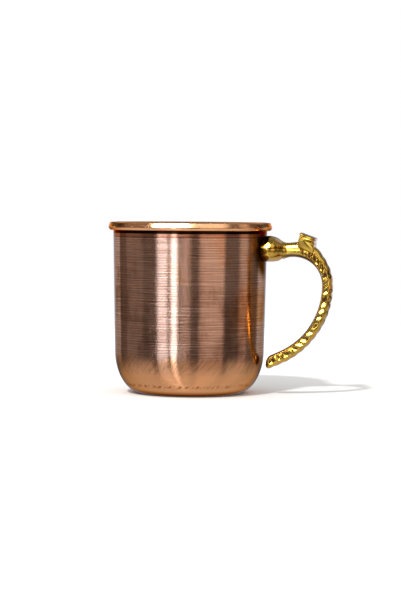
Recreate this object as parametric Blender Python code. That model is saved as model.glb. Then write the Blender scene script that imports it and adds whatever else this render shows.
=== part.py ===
"""Copper mug: a spun copper cup with a rolled rim and a cast brass handle screwed to its wall.

The mug's axis is Z and it stands on z = 0. The handle points along +X.
"""
import math

import bmesh
import bpy
from mathutils import Vector

MM = 0.001

# Cup: one sheet of copper, spun to shape.
SHEET = 1.0 * MM
BASE_FLAT_RADIUS = 26.0 * MM
CORNER_TOP_Z = 23.4 * MM
CORNER_TOP_RADIUS = 40.7 * MM
WALL_TOP_Z = 87.0 * MM
WALL_TOP_RADIUS = 42.0 * MM
CUP_SEGMENTS = 72
CORNER_STEPS = 9
WALL_STEPS = 2

# Rolled rim: the sheet turns outward over the top and its edge stops just short of the wall.
RIM_HEIGHT = 93.0 * MM
RIM_HALF_HEIGHT = 2.25 * MM
RIM_HALF_DEPTH = 1.9 * MM
RIM_SHEET = 0.8 * MM
RIM_END_ANGLE = math.radians(-104.0)
RIM_STEPS = 12

# Handle centre line: level arm, tight arch, long lower curve, straight tip.
ARM_Z = 78.6 * MM
ARM_START_X = 40.4 * MM
ARM_END_X = 57.6 * MM
ARCH_RADIUS = 18.7 * MM
LOWER_RADIUS = 43.4 * MM
LOWER_ANGLE = math.radians(66.0)
TIP_LENGTH = 8.2 * MM
TIP_LEAN = 0.9
TIP_ROUNDING = 1.6 * MM
TIP_SHRINK = 0.22

# Handle cross sections, as half sizes.
BOSS_X = 45.0 * MM
BOSS_HALF_LENGTH = 7.4 * MM
BOSS_UNDER_LENGTH = 10.5 * MM
BOSS_HALF_WIDTH = 10.2 * MM
BOSS_RISE = 7.5 * MM
BOSS_DROP = 6.5 * MM
WAIST_HALF_HEIGHT = 3.8 * MM
WAIST_HALF_WIDTH = 3.6 * MM
TAIL_HALF_HEIGHT = 2.9 * MM
TAIL_HALF_WIDTH = 4.2 * MM
TIP_HALF_HEIGHT = 3.3 * MM
TIP_GROWTH_LENGTH = 32.0 * MM
SHOULDER_RISE = 1.8 * MM
SHOULDER_SPREAD = 6.0 * MM
SHOULDER_ANGLE = math.radians(24.0)
SECTION_POINTS = 20
ELLIPSE_POWER = 1.0
BOX_POWER = 0.72
BLEND_POWER = 6.0

# Knuckles: a row of shallow scallops across the sides and back of the lower handle.
KNUCKLE_PITCH = 4.6 * MM
KNUCKLE_START_ANGLE = math.radians(31.0)
KNUCKLE_SIDE_DEPTH = 0.45 * MM
KNUCKLE_BACK_DEPTH = 0.2 * MM
RAIL_EDGE = -0.6
STATION_STEP = 1.15 * MM

# Thumb rest: a small flared block standing on the arch.
THUMB_X = 65.8 * MM
THUMB_Z = 86.5 * MM
THUMB_TILT = math.radians(22.0)
THUMB_HALF_LENGTH = 4.4 * MM
THUMB_HALF_WIDTH = 5.2 * MM
THUMB_PLATE = 1.1 * MM
THUMB_COVE = 0.6 * MM
THUMB_DEPTH = 8.6 * MM
THUMB_CORNER = 0.8 * MM

# Fixing: one screw through the wall from inside, with a washer that fits the curve of the wall.
GAP = 0.3 * MM
SCREW_RADIUS = 2.0 * MM
SCREW_HOLE_RADIUS = SCREW_RADIUS + GAP
SCREW_END_X = 49.0 * MM
BLIND_HOLE_END_X = 50.0 * MM
WASHER_RADIUS = 6.0 * MM
WASHER_FACE_X = 39.0 * MM
HEAD_RADIUS = 4.2 * MM
HEAD_HEIGHT = 2.4 * MM
HEAD_RIM_HEIGHT = 0.9 * MM
SLOT_WIDTH = 1.0 * MM
SLOT_DEPTH = 1.1 * MM
ROUND_SEGMENTS = 40
SCREW_TIP_CHAMFER = 0.5 * MM
DOME_STEPS = 6

# Reach of the guide solids used for cutting, well past what they cut.
GUIDE_START_X = 30.0 * MM
GUIDE_END_X = 60.0 * MM
GUIDE_LOW_Z = 60.0 * MM
GUIDE_HIGH_Z = 100.0 * MM

SHARP_ANGLE = math.radians(35.0)
FULL_TURN = 2.0 * math.pi


def clear_scene():
    for obj in list(bpy.data.objects):
        bpy.data.objects.remove(obj, do_unlink=True)


def make_material(name, colour, roughness):
    material = bpy.data.materials.new(name)
    material.use_nodes = True
    shader = material.node_tree.nodes["Principled BSDF"]
    shader.inputs["Base Color"].default_value = (*colour, 1.0)
    shader.inputs["Roughness"].default_value = roughness
    shader.inputs["Metallic"].default_value = 1.0
    material.diffuse_color = (*colour, 1.0)
    return material


def make_object(name, mesh_builder, material):
    """Turn a bmesh into a named object with outward faces and smooth round surfaces."""
    bmesh.ops.recalc_face_normals(mesh_builder, faces=mesh_builder.faces)
    mesh = bpy.data.meshes.new(name)
    mesh_builder.to_mesh(mesh)
    mesh_builder.free()
    mesh.materials.append(material)
    obj = bpy.data.objects.new(name, mesh)
    bpy.context.scene.collection.objects.link(obj)
    mesh.shade_smooth()
    mesh.set_sharp_from_angle(angle=SHARP_ANGLE)
    return obj


def make_cutter(name, mesh_builder):
    """A guide solid for a Boolean: kept out of the finished part."""
    bmesh.ops.recalc_face_normals(mesh_builder, faces=mesh_builder.faces)
    mesh = bpy.data.meshes.new(name)
    mesh_builder.to_mesh(mesh)
    mesh_builder.free()
    obj = bpy.data.objects.new(name, mesh)
    bpy.context.scene.collection.objects.link(obj)
    obj.hide_render = True
    obj.display_type = "WIRE"
    return obj


def add_boolean(obj, cutter, operation):
    modifier = obj.modifiers.new(cutter.name, "BOOLEAN")
    modifier.operation = operation
    modifier.solver = "EXACT"
    modifier.object = cutter


def bridge_rings(mesh_builder, first, second):
    count = len(first)
    for i in range(count):
        j = (i + 1) % count
        mesh_builder.faces.new((first[i], first[j], second[j], second[i]))


def loft(rings):
    """Skin a list of point rings and close both ends."""
    mesh_builder = bmesh.new()
    skins = [[mesh_builder.verts.new(point) for point in ring] for ring in rings]
    for first, second in zip(skins, skins[1:]):
        bridge_rings(mesh_builder, first, second)
    mesh_builder.faces.new(skins[0])
    mesh_builder.faces.new(list(reversed(skins[-1])))
    return mesh_builder


def revolve(profile, segments):
    """Turn (radius, height) points about Z; both ends of the profile lie on the axis."""
    mesh_builder = bmesh.new()
    start = mesh_builder.verts.new((0.0, 0.0, profile[0][1]))
    end = mesh_builder.verts.new((0.0, 0.0, profile[-1][1]))
    rings = []
    for radius, height in profile[1:-1]:
        ring = []
        for i in range(segments):
            angle = FULL_TURN * i / segments
            ring.append(mesh_builder.verts.new((radius * math.cos(angle), radius * math.sin(angle), height)))
        rings.append(ring)
    for first, second in zip(rings, rings[1:]):
        bridge_rings(mesh_builder, first, second)
    for pole, ring in ((start, rings[0]), (end, rings[-1])):
        for i in range(segments):
            mesh_builder.faces.new((pole, ring[i], ring[(i + 1) % segments]))
    return mesh_builder


def x_cylinder(radius, start_x, end_x):
    """A closed cylinder lying along X at the height of the handle's arm."""
    rings = []
    for x in (start_x, end_x):
        ring = []
        for i in range(ROUND_SEGMENTS):
            angle = FULL_TURN * i / ROUND_SEGMENTS
            ring.append((x, radius * math.cos(angle), ARM_Z + radius * math.sin(angle)))
        rings.append(ring)
    return loft(rings)


def wall_radius(z):
    """Outside radius of the cup's tapered wall."""
    share = (z - CORNER_TOP_Z) / (WALL_TOP_Z - CORNER_TOP_Z)
    return CORNER_TOP_RADIUS + share * (WALL_TOP_RADIUS - CORNER_TOP_RADIUS)


def cup_side(inset):
    """Points of one face of the sheet, from the flat base to the top of the wall."""
    points = []
    for i in range(CORNER_STEPS + 1):
        angle = 0.5 * math.pi * (1.0 - i / CORNER_STEPS)
        across = CORNER_TOP_RADIUS - BASE_FLAT_RADIUS - inset
        radius = BASE_FLAT_RADIUS + across * math.cos(angle)
        points.append((radius, CORNER_TOP_Z - (CORNER_TOP_Z - inset) * math.sin(angle)))
    for i in range(1, WALL_STEPS + 1):
        z = CORNER_TOP_Z + (WALL_TOP_Z - CORNER_TOP_Z) * i / WALL_STEPS
        points.append((wall_radius(z) - inset, z))
    return points


def rim_side(inset):
    """Points of one face of the rolled rim, from the wall over the top to its free edge."""
    centre_r = WALL_TOP_RADIUS - SHEET + RIM_HALF_DEPTH
    centre_z = RIM_HEIGHT - RIM_HALF_HEIGHT
    points = []
    for i in range(RIM_STEPS + 1):
        angle = math.pi + (RIM_END_ANGLE - math.pi) * i / RIM_STEPS
        radius = centre_r + (RIM_HALF_DEPTH - inset) * math.cos(angle)
        points.append((radius, centre_z + (RIM_HALF_HEIGHT - inset) * math.sin(angle)))
    return points


def build_body_shell(material):
    outside = [(0.0, 0.0)] + cup_side(0.0) + rim_side(RIM_SHEET)
    inside = [(0.0, SHEET)] + cup_side(SHEET) + rim_side(0.0)
    body = make_object("body_shell", revolve(outside + inside[::-1], CUP_SEGMENTS), material)
    hole = x_cylinder(SCREW_HOLE_RADIUS, GUIDE_START_X, GUIDE_END_X)
    add_boolean(body, make_cutter("screw_hole_cutter", hole), "DIFFERENCE")
    return body


def handle_length():
    return lower_start() + LOWER_RADIUS * LOWER_ANGLE + TIP_LENGTH


def arch_start():
    return ARM_END_X - ARM_START_X


def lower_start():
    return arch_start() + 0.5 * math.pi * ARCH_RADIUS


def centre_line(distance):
    """Point of the handle's centre line and the direction its back faces, in the XZ plane."""
    if distance <= arch_start():
        return Vector((ARM_START_X + distance, 0.0, ARM_Z)), Vector((0.0, 0.0, 1.0))
    arch_z = ARM_Z - ARCH_RADIUS
    if distance <= lower_start():
        angle = 0.5 * math.pi - (distance - arch_start()) / ARCH_RADIUS
        back = Vector((math.cos(angle), 0.0, math.sin(angle)))
        return Vector((ARM_END_X, 0.0, arch_z)) + ARCH_RADIUS * back, back
    outer_x = ARM_END_X + ARCH_RADIUS
    angle = min((distance - lower_start()) / LOWER_RADIUS, LOWER_ANGLE)
    back = Vector((math.cos(angle), 0.0, -math.sin(angle)))
    point = Vector((outer_x - LOWER_RADIUS, 0.0, arch_z)) + LOWER_RADIUS * back
    beyond = max(0.0, distance - lower_start() - LOWER_RADIUS * LOWER_ANGLE)
    return point + beyond * Vector((-math.sin(angle), 0.0, -math.cos(angle))), back


def ease(value, low, high):
    """Smooth 0 to 1 step between two values."""
    share = min(1.0, max(0.0, (value - low) / (high - low)))
    return share * share * (3.0 - 2.0 * share)


def smooth_larger(first, second):
    """The larger of two sizes, with a soft blend where they meet."""
    return (first ** BLEND_POWER + second ** BLEND_POWER) ** (1.0 / BLEND_POWER)


def boss_share(distance, half_length):
    """Size of the round boss at a distance along the arm, 1 at its middle."""
    offset = (ARM_START_X + distance - BOSS_X) / half_length
    return math.sqrt(max(0.0001, 1.0 - offset * offset))


def knuckle(distance):
    """1 in the valleys between knuckles, 0 on their crests and on the plain arm."""
    along = distance - arch_start() - KNUCKLE_START_ANGLE * ARCH_RADIUS
    fade = ease(along, 0.0, KNUCKLE_PITCH)
    wave = abs(math.cos(math.pi * along / KNUCKLE_PITCH))
    return fade * wave ** 3


def section_sizes(distance):
    """Half heights on the back and inner side, half width and corner power of the bar."""
    to_tail = ease(distance, arch_start(), lower_start())
    to_tip = ease(distance, handle_length() - TIP_GROWTH_LENGTH, handle_length() - TIP_LENGTH)
    height = WAIST_HALF_HEIGHT + to_tail * (TAIL_HALF_HEIGHT - WAIST_HALF_HEIGHT)
    height += to_tip * (TIP_HALF_HEIGHT - TAIL_HALF_HEIGHT)
    width = WAIST_HALF_WIDTH + to_tail * (TAIL_HALF_WIDTH - WAIST_HALF_WIDTH)
    boss = boss_share(distance, BOSS_HALF_LENGTH)
    width = smooth_larger(width, BOSS_HALF_WIDTH * boss)
    inner = smooth_larger(height, BOSS_DROP * boss_share(distance, BOSS_UNDER_LENGTH))
    offset = (distance - arch_start() - SHOULDER_ANGLE * ARCH_RADIUS) / SHOULDER_SPREAD
    back = smooth_larger(height, BOSS_RISE * boss) + SHOULDER_RISE * math.exp(-offset * offset)
    return back, inner, width, ELLIPSE_POWER + to_tail * (BOX_POWER - ELLIPSE_POWER)


def signed_power(value, power):
    return math.copysign(abs(value) ** power, value)


def tip_size(distance):
    """Share of full size near the free end, where the edges are rounded over."""
    inward = max(0.0, distance - handle_length() + TIP_ROUNDING) / TIP_ROUNDING
    return 1.0 - TIP_SHRINK * inward * inward


def handle_ring(distance):
    """One cross section of the bar; near the tip it leans, so the end faces the cup squarely."""
    point, back_way = centre_line(distance)
    back, inner, width, power = section_sizes(distance)
    valley = knuckle(distance)
    size = tip_size(distance)
    lean = TIP_LEAN * ease(distance, handle_length() - TIP_LENGTH, handle_length())
    onward = Vector((back_way.z, 0.0, -back_way.x))
    ring = []
    for i in range(SECTION_POINTS):
        angle = FULL_TURN * (i + 0.5) / SECTION_POINTS
        across = signed_power(math.sin(angle), power)
        outward = signed_power(math.cos(angle), power)
        # The scallops cut the sides and the back and leave a smooth rail on the inner side.
        on_rail = outward < RAIL_EDGE
        side = width if on_rail else width - KNUCKLE_SIDE_DEPTH * valley
        depth = inner if outward < 0.0 else back - KNUCKLE_BACK_DEPTH * valley
        depth *= size * outward
        sideways = Vector((0.0, size * side * across, 0.0))
        ring.append(point + depth * (back_way + lean * onward) + sideways)
    return ring


def rounded_rectangle(half_length, half_width, corner):
    """Outline points of a rectangle with small round corners."""
    points = []
    for quarter, (sx, sy) in enumerate(((1, 1), (-1, 1), (-1, -1), (1, -1))):
        for step in range(4):
            angle = 0.5 * math.pi * (quarter + step / 3.0)
            x = sx * (half_length - corner) + corner * math.cos(angle)
            points.append((x, sy * (half_width - corner) + corner * math.sin(angle)))
    return points


def build_thumb_rest_guide():
    """The flared block of the thumb rest, joined into the handle casting."""
    up = Vector((math.sin(THUMB_TILT), 0.0, math.cos(THUMB_TILT)))
    along = Vector((math.cos(THUMB_TILT), 0.0, -math.sin(THUMB_TILT)))
    top = Vector((THUMB_X, 0.0, THUMB_Z))
    cove_z = THUMB_PLATE + THUMB_COVE
    # Each step: depth below the top face, and how far the sides are set in from the plate's edge.
    steps = (
        (0.0, 0.35 * MM),
        (0.4 * MM, 0.0),
        (THUMB_PLATE, 0.05 * MM),
        (cove_z, 0.5 * MM),
        (cove_z + 1.3 * MM, 0.2 * MM),
        (cove_z + 1.6 * MM, 0.6 * MM),
        (THUMB_DEPTH - 1.6 * MM, 0.8 * MM),
        (THUMB_DEPTH, 2.2 * MM),
    )
    rings = []
    for depth, inset in steps:
        outline = rounded_rectangle(THUMB_HALF_LENGTH - inset, THUMB_HALF_WIDTH - inset, THUMB_CORNER)
        # The outer end drops straight down into the back of the arch, with no overhang.
        outer_end = inset + depth * math.tan(THUMB_TILT)
        ring = []
        for x, y in outline:
            shift = outer_end if x > 0.0 else 0.0
            ring.append(top - depth * up + (x + shift) * along + Vector((0.0, y, 0.0)))
        rings.append(ring)
    return make_cutter("thumb_rest_guide", loft(rings))


def wall_guide(name, offset):
    """A solid that follows the taper of the cup's outer wall at a set distance from it."""
    profile = [(0.0, GUIDE_LOW_Z)]
    for z in (GUIDE_LOW_Z, GUIDE_HIGH_Z):
        profile.append((wall_radius(z) + offset, z))
    profile.append((0.0, GUIDE_HIGH_Z))
    return make_cutter(name, revolve(profile, CUP_SEGMENTS))


def build_handle(material):
    count = round(handle_length() / STATION_STEP)
    rings = [handle_ring(handle_length() * i / count) for i in range(count + 1)]
    handle = make_object("handle", loft(rings), material)
    add_boolean(handle, build_thumb_rest_guide(), "UNION")
    add_boolean(handle, wall_guide("saddle_cutter", GAP), "DIFFERENCE")
    hole = x_cylinder(SCREW_HOLE_RADIUS, GUIDE_START_X, BLIND_HOLE_END_X)
    add_boolean(handle, make_cutter("boss_hole_cutter", hole), "DIFFERENCE")
    return handle


def build_saddle_washer(material):
    """A round washer, flat under the screw's head and curved to fit the inside of the wall."""
    disc = x_cylinder(WASHER_RADIUS, WASHER_FACE_X, GUIDE_END_X)
    washer = make_object("saddle_washer", disc, material)
    add_boolean(washer, wall_guide("washer_curve_guide", -SHEET - GAP), "INTERSECT")
    hole = x_cylinder(SCREW_HOLE_RADIUS, GUIDE_START_X, GUIDE_END_X)
    add_boolean(washer, make_cutter("washer_hole_cutter", hole), "DIFFERENCE")
    return washer


def screw_profile():
    """Half outline of the pan-head screw: radius, and distance outward from the head's seat."""
    profile = [(0.0, HEAD_HEIGHT)]
    for i in range(1, DOME_STEPS + 1):
        angle = 0.5 * math.pi * i / DOME_STEPS
        rise = (HEAD_HEIGHT - HEAD_RIM_HEIGHT) * math.cos(angle)
        profile.append((HEAD_RADIUS * math.sin(angle), HEAD_RIM_HEIGHT + rise))
    length = SCREW_END_X - WASHER_FACE_X + GAP
    profile += [(HEAD_RADIUS, 0.0), (SCREW_RADIUS, 0.0), (SCREW_RADIUS, SCREW_TIP_CHAMFER - length)]
    profile += [(SCREW_RADIUS - SCREW_TIP_CHAMFER, -length), (0.0, -length)]
    return profile


def build_handle_screw(material):
    """Slotted screw lying along X, with its head inside the cup."""
    seat_x = WASHER_FACE_X - GAP
    mesh_builder = revolve(screw_profile(), ROUND_SEGMENTS)
    for vertex in mesh_builder.verts:
        x, y, z = vertex.co
        vertex.co = (seat_x - z, y, ARM_Z + x)
    screw = make_object("handle_screw", mesh_builder, material)
    rings = []
    for x in (GUIDE_START_X, seat_x - HEAD_HEIGHT + SLOT_DEPTH):
        corners = ((-1, -1), (1, -1), (1, 1), (-1, 1))
        rings.append([(x, 0.5 * SLOT_WIDTH * sy, ARM_Z + 2.0 * HEAD_RADIUS * sz) for sy, sz in corners])
    add_boolean(screw, make_cutter("slot_cutter", loft(rings)), "DIFFERENCE")
    return screw


def main():
    clear_scene()
    copper = make_material("patinated_copper", (0.42, 0.20, 0.12), 0.3)
    cast_brass = make_material("polished_cast_brass", (0.78, 0.55, 0.14), 0.12)
    sheet_brass = make_material("turned_brass", (0.72, 0.52, 0.18), 0.25)
    screw_brass = make_material("screw_brass", (0.75, 0.54, 0.18), 0.2)
    build_body_shell(copper)
    build_handle(cast_brass)
    build_saddle_washer(sheet_brass)
    build_handle_screw(screw_brass)


main()
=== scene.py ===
"""Copper mug: a spun copper cup with a rolled rim and a hammered brass handle, on a pale table.

Each piece is one operator of a small add-on; sizes and colours are its settings.
"""
import math

import bpy
import numpy as np
from bpy.props import FloatProperty, FloatVectorProperty, PointerProperty
from mathutils import Matrix, Vector


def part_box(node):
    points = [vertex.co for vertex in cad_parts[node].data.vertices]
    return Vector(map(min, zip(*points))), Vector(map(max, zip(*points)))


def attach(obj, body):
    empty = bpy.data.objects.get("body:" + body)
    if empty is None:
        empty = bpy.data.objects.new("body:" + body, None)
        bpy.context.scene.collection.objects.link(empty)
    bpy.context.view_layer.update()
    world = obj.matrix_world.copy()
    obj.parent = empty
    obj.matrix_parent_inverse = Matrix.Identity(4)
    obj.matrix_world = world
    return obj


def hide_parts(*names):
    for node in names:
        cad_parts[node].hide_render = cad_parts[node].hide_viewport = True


bl_info = {
    "name": "Copper mug",
    "version": (1, 0, 0),
    "blender": (4, 5, 0),
    "location": "3D View > Sidebar > Mug",
    "description": "Builds a spun copper mug with a hammered brass handle",
    "category": "Object",
}

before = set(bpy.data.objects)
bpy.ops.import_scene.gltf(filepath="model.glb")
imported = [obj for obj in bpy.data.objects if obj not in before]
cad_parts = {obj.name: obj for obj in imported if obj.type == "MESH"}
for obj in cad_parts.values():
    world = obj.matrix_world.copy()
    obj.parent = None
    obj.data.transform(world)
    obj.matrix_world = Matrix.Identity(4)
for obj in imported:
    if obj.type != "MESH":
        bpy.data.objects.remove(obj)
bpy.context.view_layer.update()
CUP_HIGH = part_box("body_shell")[1]
WASHER_LOW, WASHER_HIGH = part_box("saddle_washer")
SCREW_LOW, SCREW_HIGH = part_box("handle_screw")

MM = 0.001
FULL_TURN = 2.0 * math.pi
RIGHT_ANGLE = 0.5 * math.pi
WHITE = (1.0, 1.0, 1.0, 1.0)
GAP = 0.3 * MM

# Finishes of the cup: spacing of the lathe's lines, lean of the scouring and where the marks lie.
FEED_LINE_CM = 0.135
WAVE_UNIT = 20.0
STROKE_LEAN = -0.03
BELT_SHARE = 0.85
CORNER_LINE = 12.0 * MM
RUBBED_SPOT = (38.7 * MM, -14.8 * MM, 46.0 * MM)
# Middle of the painted shadow round the boss.
BOSS_ON_WALL = (41.0 * MM, 0.0, 78.6 * MM)
WALL_AT_BOSS = 41.9 * MM


# ---------------------------------------------------------------- helpers

def linear(hex_colour):
    """Linear RGBA of an sRGB hex colour."""
    channels = []
    for i in (1, 3, 5):
        value = int(hex_colour[i:i + 2], 16) / 255.0
        channels.append(value / 12.92 if value <= 0.04045 else ((value + 0.055) / 1.055) ** 2.4)
    return (*channels, 1.0)


def add_node(tree, kind, settings):
    """Add a node; each setting is an attribute, a socket's value, or an output to link to a socket."""
    node = tree.nodes.new(kind)
    for key, value in settings.items():
        if isinstance(value, bpy.types.NodeSocket):
            tree.links.new(value, node.inputs[key])
        elif isinstance(key, str) and hasattr(node, key):
            setattr(node, key, value)
        else:
            node.inputs[key].default_value = value
    return node


def tones(tree, value, stops):
    """Colour ramp with these stops: (position, grey or RGBA)."""
    node = add_node(tree, "ShaderNodeValToRGB", {"Fac": value})
    ramp = node.color_ramp
    while len(ramp.elements) > 1:
        ramp.elements.remove(ramp.elements[-1])
    for i, (position, tone) in enumerate(stops):
        element = ramp.elements[0] if i == 0 else ramp.elements.new(position)
        element.position = position
        element.color = tone if hasattr(tone, "__len__") else (tone, tone, tone, 1.0)
    return node.outputs["Color"]


def tones_by_height(tree, height, top, stops):
    """Colour ramp whose stops are heights in millimetres, up to a top height."""
    return tones(tree, span(tree, height, 0.0, top), [(z * MM / top, tone) for z, tone in stops])


def noise(tree, vector, scale, detail, roughness=0.5):
    """Cloudy grey pattern."""
    settings = {"Vector": vector, "Scale": scale, "Detail": detail, "Roughness": roughness}
    return add_node(tree, "ShaderNodeTexNoise", settings).outputs["Fac"]


def stretch(tree, vector, scale, shift=(0.0, 0.0, 0.0)):
    """Coordinates scaled along each axis, then shifted."""
    settings = {"Vector": vector, "Scale": scale, "Location": shift}
    return add_node(tree, "ShaderNodeMapping", settings).outputs["Vector"]


def span(tree, value, low, high, to_low=0.0, to_high=1.0, way="LINEAR"):
    """Carry a value from one range to another, held at its ends."""
    settings = {
        "interpolation_type": way, "Value": value,
        "From Min": low, "From Max": high, "To Min": to_low, "To Max": to_high,
    }
    return add_node(tree, "ShaderNodeMapRange", settings).outputs["Result"]


def reckon(tree, operation, *terms, clamp=False):
    """One sum on numbers or outputs."""
    settings = {"operation": operation, "use_clamp": clamp, **dict(enumerate(terms))}
    return add_node(tree, "ShaderNodeMath", settings).outputs[0]


def blend(tree, share, first, second, way="MIX"):
    """Mix two colours or patterns."""
    settings = {"data_type": "RGBA", "blend_type": way, 0: share, 6: first, 7: second}
    return add_node(tree, "ShaderNodeMix", settings).outputs[2]


def distance_from(tree, vector, point):
    settings = {"operation": "DISTANCE", 0: vector, 1: point}
    return add_node(tree, "ShaderNodeVectorMath", settings).outputs["Value"]


def object_place(tree):
    return add_node(tree, "ShaderNodeTexCoord", {}).outputs["Object"]


def height_of(tree, place):
    return add_node(tree, "ShaderNodeSeparateXYZ", {"Vector": place}).outputs["Z"]


def dress(tree, shader, colour, roughness):
    tree.links.new(colour, shader.inputs["Base Color"])
    tree.links.new(roughness, shader.inputs["Roughness"])


def emboss(tree, shader, pattern, strength, depth):
    """Give the finish a fine relief."""
    bump = add_node(tree, "ShaderNodeBump", {"Height": pattern, "Strength": strength, "Distance": depth})
    tree.links.new(bump.outputs["Normal"], shader.inputs["Normal"])


def new_metal(name):
    material = bpy.data.materials.new(name)
    material.use_nodes = True
    tree = material.node_tree
    tree.nodes.clear()
    output = tree.nodes.new("ShaderNodeOutputMaterial")
    shader = tree.nodes.new("ShaderNodeBsdfPrincipled")
    tree.links.new(shader.outputs["BSDF"], output.inputs["Surface"])
    shader.inputs["Metallic"].default_value = 1.0
    return material, tree, shader


def deselect_all():
    bpy.ops.object.select_all(action="DESELECT")


def make_active(obj):
    deselect_all()
    obj.select_set(True)
    bpy.context.view_layer.objects.active = obj


def apply_modifier(obj, kind, settings):
    make_active(obj)
    modifier = obj.modifiers.new(kind.title(), kind)
    for key, value in settings.items():
        setattr(modifier, key, value)
    bpy.ops.object.modifier_apply(modifier=modifier.name)


def cut(obj, tool, operation):
    """Join or cut a piece with a tool solid, and put the tool away."""
    apply_modifier(obj, "BOOLEAN", {"operation": operation, "solver": "EXACT", "object": tool})
    bpy.data.objects.remove(tool, do_unlink=True)


def edit_points():
    """Open the mesh with every point selected."""
    bpy.ops.object.mode_set(mode="EDIT")
    bpy.ops.mesh.select_mode(type="VERT")
    bpy.ops.mesh.select_all(action="SELECT")


def close_up(obj):
    """Merge doubled points, fill open ends and turn every face outward."""
    make_active(obj)
    edit_points()
    bpy.ops.mesh.remove_doubles(threshold=0.002 * MM)
    bpy.ops.mesh.select_all(action="SELECT")
    bpy.ops.mesh.fill_holes(sides=0)
    bpy.ops.mesh.select_all(action="SELECT")
    bpy.ops.mesh.normals_make_consistent(inside=False)
    bpy.ops.object.mode_set(mode="OBJECT")


def settle(obj):
    """Put the object's place into its mesh."""
    make_active(obj)
    bpy.ops.object.transform_apply(location=True, rotation=True, scale=True)


def points_of(mesh):
    co = np.empty(len(mesh.vertices) * 3)
    mesh.vertices.foreach_get("co", co)
    return co.reshape(-1, 3)


def move_points(mesh, co):
    mesh.vertices.foreach_set("co", co.ravel())
    mesh.update()


def face_centres(mesh):
    centres = np.empty(len(mesh.polygons) * 3)
    mesh.polygons.foreach_get("center", centres)
    return centres.reshape(-1, 3)


def turn_outline(name, outline, steps):
    """Draw a half outline point by point, as on a lathe template, and spin it about Z."""
    deselect_all()
    radius, height = outline[0]
    bpy.ops.mesh.primitive_plane_add(size=MM, location=(radius, 0.0, height))
    obj = bpy.context.object
    obj.name = name
    settle(obj)
    edit_points()
    bpy.ops.mesh.merge(type="CENTER")
    for (r0, z0), (r1, z1) in zip(outline, outline[1:]):
        bpy.ops.mesh.extrude_region_move(TRANSFORM_OT_translate={"value": (r1 - r0, 0.0, z1 - z0)})
    bpy.ops.mesh.select_all(action="SELECT")
    bpy.ops.mesh.spin(steps=steps, angle=FULL_TURN, center=(0.0, 0.0, 0.0), axis=(0.0, 0.0, 1.0))
    bpy.ops.object.mode_set(mode="OBJECT")
    close_up(obj)
    return obj


def smooth_all(obj, degrees):
    make_active(obj)
    bpy.ops.object.shade_smooth_by_angle(angle=math.radians(degrees))


def finish_piece(obj, node_name, materials):
    for material in materials:
        obj.data.materials.append(material)
    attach(obj, "root")
    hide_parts(node_name)


# ---------------------------------------------------------------- settings

def a_length(name, description, default):
    return FloatProperty(name=name, description=description, unit="LENGTH", default=default)


def a_colour(name, description, default):
    return FloatVectorProperty(
        name=name, description=description, subtype="COLOR", size=4, default=linear(default), min=0.0, max=1.0
    )


class MugCupSettings(bpy.types.PropertyGroup):
    """Sizes and colours of the spun cup."""

    height: a_length("Height", "Table to the top of the rim", CUP_HIGH.z)
    base_radius: a_length("Flat base", "Radius of the flat part of the base", 26.0 * MM)
    foot_radius: a_length("Wall foot", "Wall radius at the top of the foot's corner", 40.7 * MM)
    corner_height: a_length("Corner height", "Height of the rounded foot corner", 23.4 * MM)
    wall_radius: a_length("Wall top", "Wall radius just under the rim", 42.0 * MM)
    wall_top: a_length("Wall height", "Height of the wall under the rim", 87.0 * MM)
    sheet: a_length("Sheet", "Thickness of the copper sheet", 1.0 * MM)
    rim_half_height: a_length("Rim half height", "Half the height of the rolled rim", 2.25 * MM)
    rim_half_depth: a_length("Rim half depth", "Half the depth of the rolled rim", 1.87 * MM)
    patina: a_colour("Patina", "Brown of the aged wall", "#C89C81")
    worn: a_colour("Worn copper", "Warmer copper of the foot", "#D69463")
    polished: a_colour("Polished rim", "Buffed copper of the rim", "#FABB86")


class MugHandleSettings(bpy.types.PropertyGroup):
    """Sizes and colours of the cast handle."""

    arm_height: a_length("Arm height", "Height of the arm's centre line", 78.6 * MM)
    knuckle_pitch: a_length("Knuckle pitch", "Spacing of the knuckles along the tail", 4.6 * MM)
    knuckle_depth: a_length("Knuckle depth", "Depth of the notches between knuckles", 0.85 * MM)
    hammer_depth: a_length("Hammer depth", "How deep the hammered flats are cut", 0.3 * MM)
    brass: a_colour("Brass", "Colour of the polished brass", "#DAA420")
    # Colour of the painted shade on the handle.
    painted_shade: a_colour("Recess", "Colour of the darkened grooves", "#5A390C")


class MugFixingSettings(bpy.types.PropertyGroup):
    """Sizes and colour of the screw and washer inside the cup."""

    washer_radius: a_length("Washer radius", "Radius of the washer", 0.5 * (WASHER_HIGH.z - WASHER_LOW.z))
    head_radius: a_length("Head radius", "Radius of the screw's head", 0.5 * (SCREW_HIGH.z - SCREW_LOW.z))
    shank_radius: a_length("Shank radius", "Radius of the screw's shank", 2.0 * MM)
    brass: a_colour("Screw brass", "Colour of the machined brass", "#D8B25C")


class MugStageSettings(bpy.types.PropertyGroup):
    """The table, the studio light and the camera."""

    camera_azimuth: FloatProperty(
        name="Camera azimuth", description="Camera's turn about the cup, toward the handle",
        subtype="ANGLE", default=math.radians(14.0),
    )
    camera_distance: a_length("Camera distance", "From the cup's axis to the camera", 1.1)
    camera_height: a_length("Camera height", "Camera above the table", 0.102)
    lens: FloatProperty(name="Lens", description="Focal length in millimetres", default=120.8)
    key_strength: FloatProperty(
        name="Key strength", description="Strength of the small key light", default=2.0
    )
    table: a_colour("Table", "Colour of the table", "#F4F4F3")


# ---------------------------------------------------------------- cup

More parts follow.
